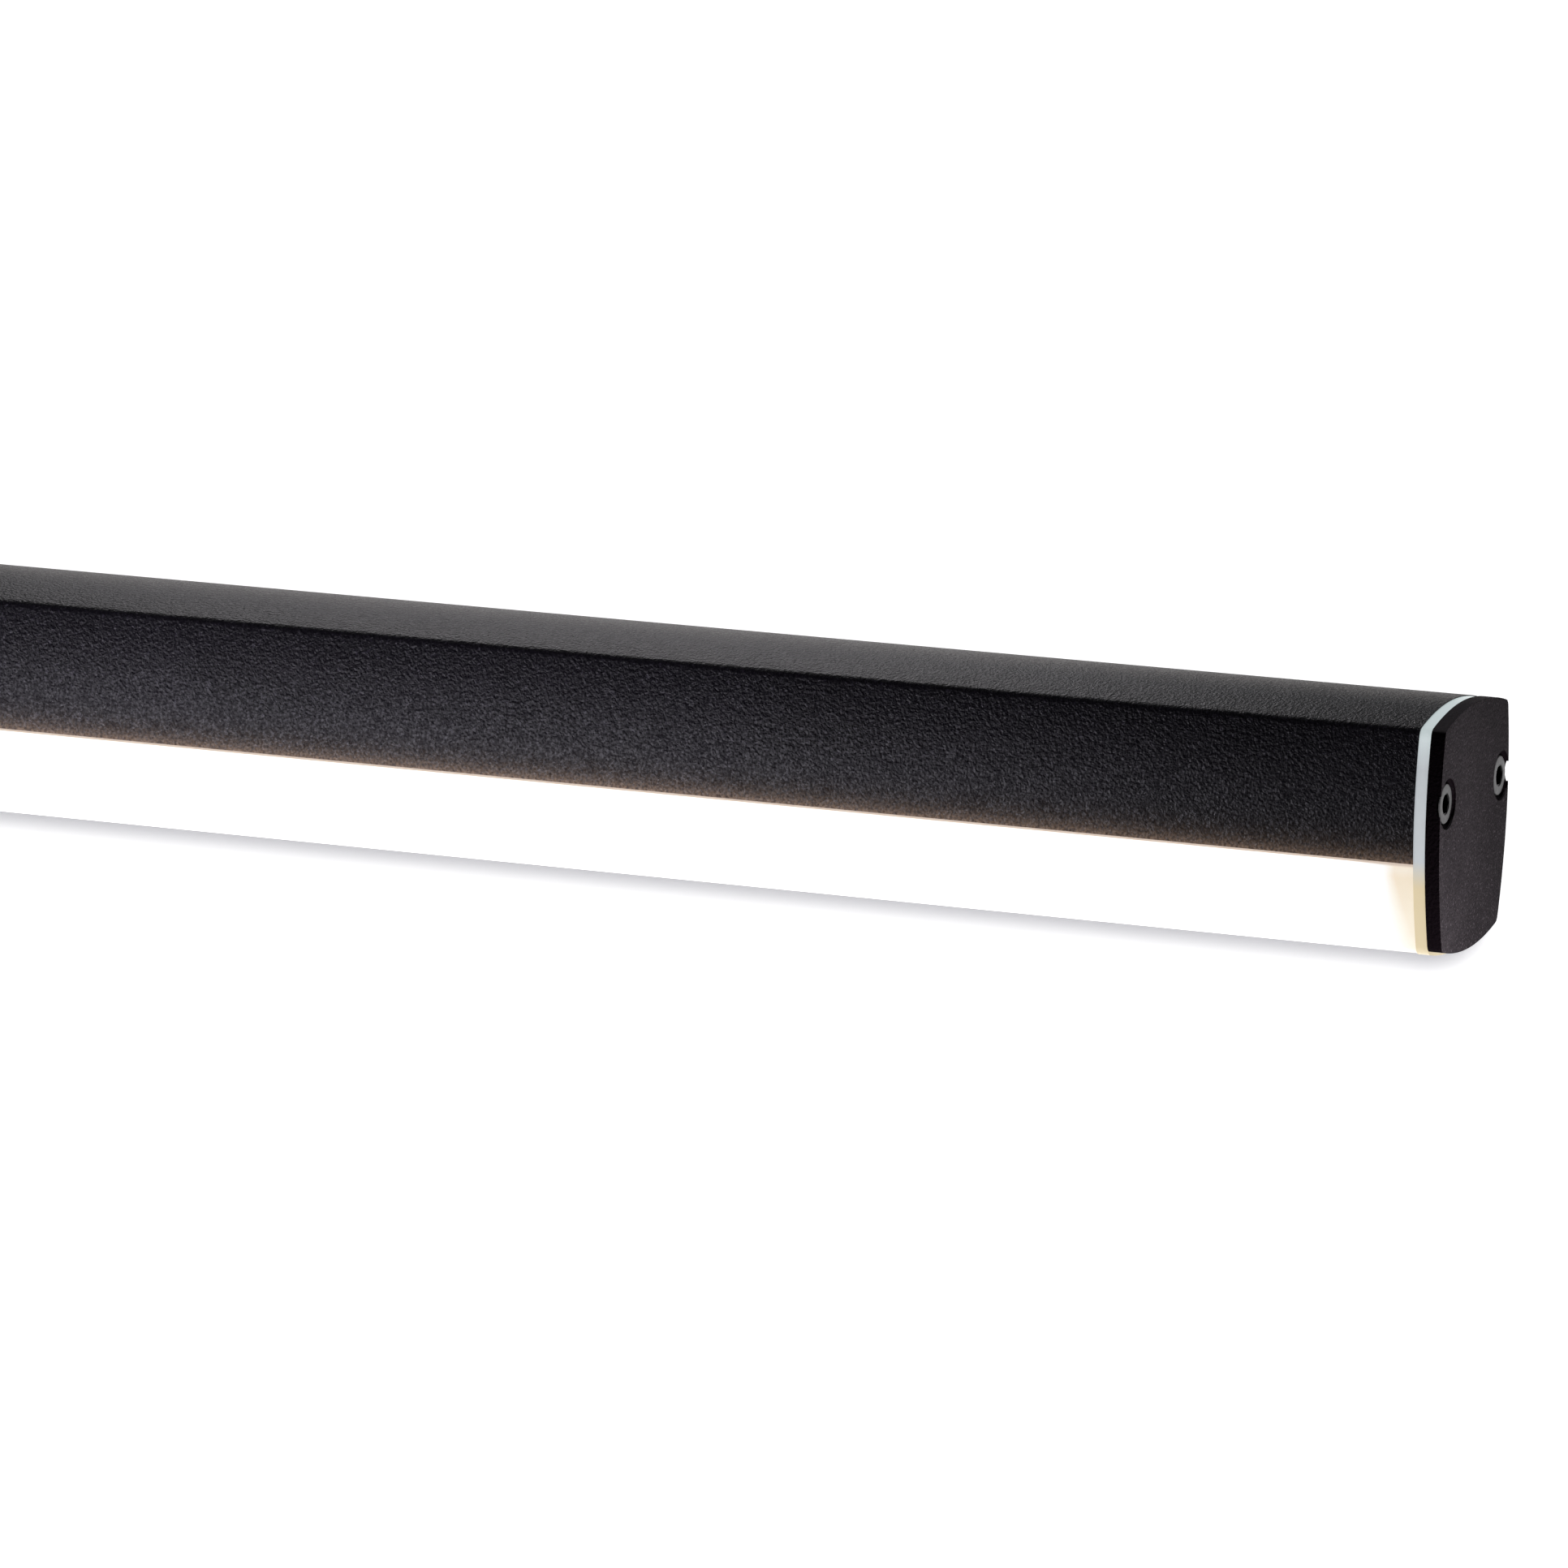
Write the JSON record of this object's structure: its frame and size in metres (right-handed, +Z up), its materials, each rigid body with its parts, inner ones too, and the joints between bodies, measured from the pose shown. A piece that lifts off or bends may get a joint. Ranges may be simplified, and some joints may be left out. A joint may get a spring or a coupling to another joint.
{
  "type": "vanity light bar",
  "caption": "Wall-mounted light bar with a pillow-section black cover, a white light-giving lower half, screwed end caps and a round canopy on two stand-off tubes.",
  "frame": {"origin": "centre of the round canopy's back, on the wall plane", "axes": "+X along the bar to the viewer's right, +Y into the wall, +Z up"},
  "size_m": [0.65, 0.0761, 0.114],
  "materials": {
    "housing_black": "satin black powder coat",
    "end_cap_black": "satin black powder coat",
    "stem_black": "satin black powder coat",
    "canopy_black": "satin black powder coat",
    "diffuser_white": "opal acrylic, lit from inside",
    "end_plate_white": "white acrylic, lets some light through",
    "cap_screw_steel": "zinc-plated steel",
    "side_screw_black": "black oxide",
    "zinc_steel": "zinc plated",
    "strap_zinc": "zinc-plated pressed sheet",
    "nipple_brass": "plain",
    "led_board_white": "white solder mask on aluminium",
    "thermal_pad_grey": "silicone pad",
    "grommet_rubber": "matt",
    "driver_case_white": "moulded",
    "driver_cover_white": "moulded",
    "driver_board_green": "solder mask",
    "foam_tape_grey": "double-sided foam tape",
    "terminal_ivory": "moulded",
    "ground_screw_green": "green zinc",
    "wire_red": "wire insulation",
    "wire_black": "wire insulation",
    "wire_brown": "wire insulation",
    "wire_blue": "wire insulation",
    "wire_green": "wire insulation"
  },
  "bodies": {
    "root": {"housing_extrusion": "housing_black", "diffuser_lens": "diffuser_white", "end_plate_left": "end_plate_white", "end_plate_right": "end_plate_white", "end_cap_left": "end_cap_black", "end_cap_right": "end_cap_black", "cap_screw_left_front": "cap_screw_steel", "cap_screw_left_back": "cap_screw_steel", "cap_screw_right_front": "cap_screw_steel", "cap_screw_right_back": "cap_screw_steel", "led_board_left": "led_board_white", "led_board_right": "led_board_white", "thermal_pad_left": "thermal_pad_grey", "thermal_pad_right": "thermal_pad_grey", "web_grommet": "grommet_rubber", "standoff_tube_left": "stem_black", "standoff_tube_right": "stem_black", "threaded_nipple_left": "nipple_brass", "threaded_nipple_right": "nipple_brass", "housing_nut_left": "zinc_steel", "housing_nut_right": "zinc_steel", "canopy_washer_left": "zinc_steel", "canopy_washer_right": "zinc_steel", "canopy_nut_left": "zinc_steel", "canopy_nut_right": "zinc_steel", "wall_canopy": "canopy_black", "canopy_side_screw_left": "side_screw_black", "canopy_side_screw_right": "side_screw_black", "mounting_strap": "strap_zinc", "ground_screw": "ground_screw_green", "driver_case": "driver_case_white", "driver_cover": "driver_cover_white", "driver_board": "driver_board_green", "driver_foam_pad": "foam_tape_grey", "terminal_block": "terminal_ivory", "terminal_pad": "foam_tape_grey", "led_lead_red": "wire_red", "led_lead_black": "wire_black", "board_jumper_red": "wire_red", "board_jumper_black": "wire_black", "primary_lead_live": "wire_brown", "primary_lead_neutral": "wire_blue", "ground_lead": "wire_green"}
  },
  "joints": []
}
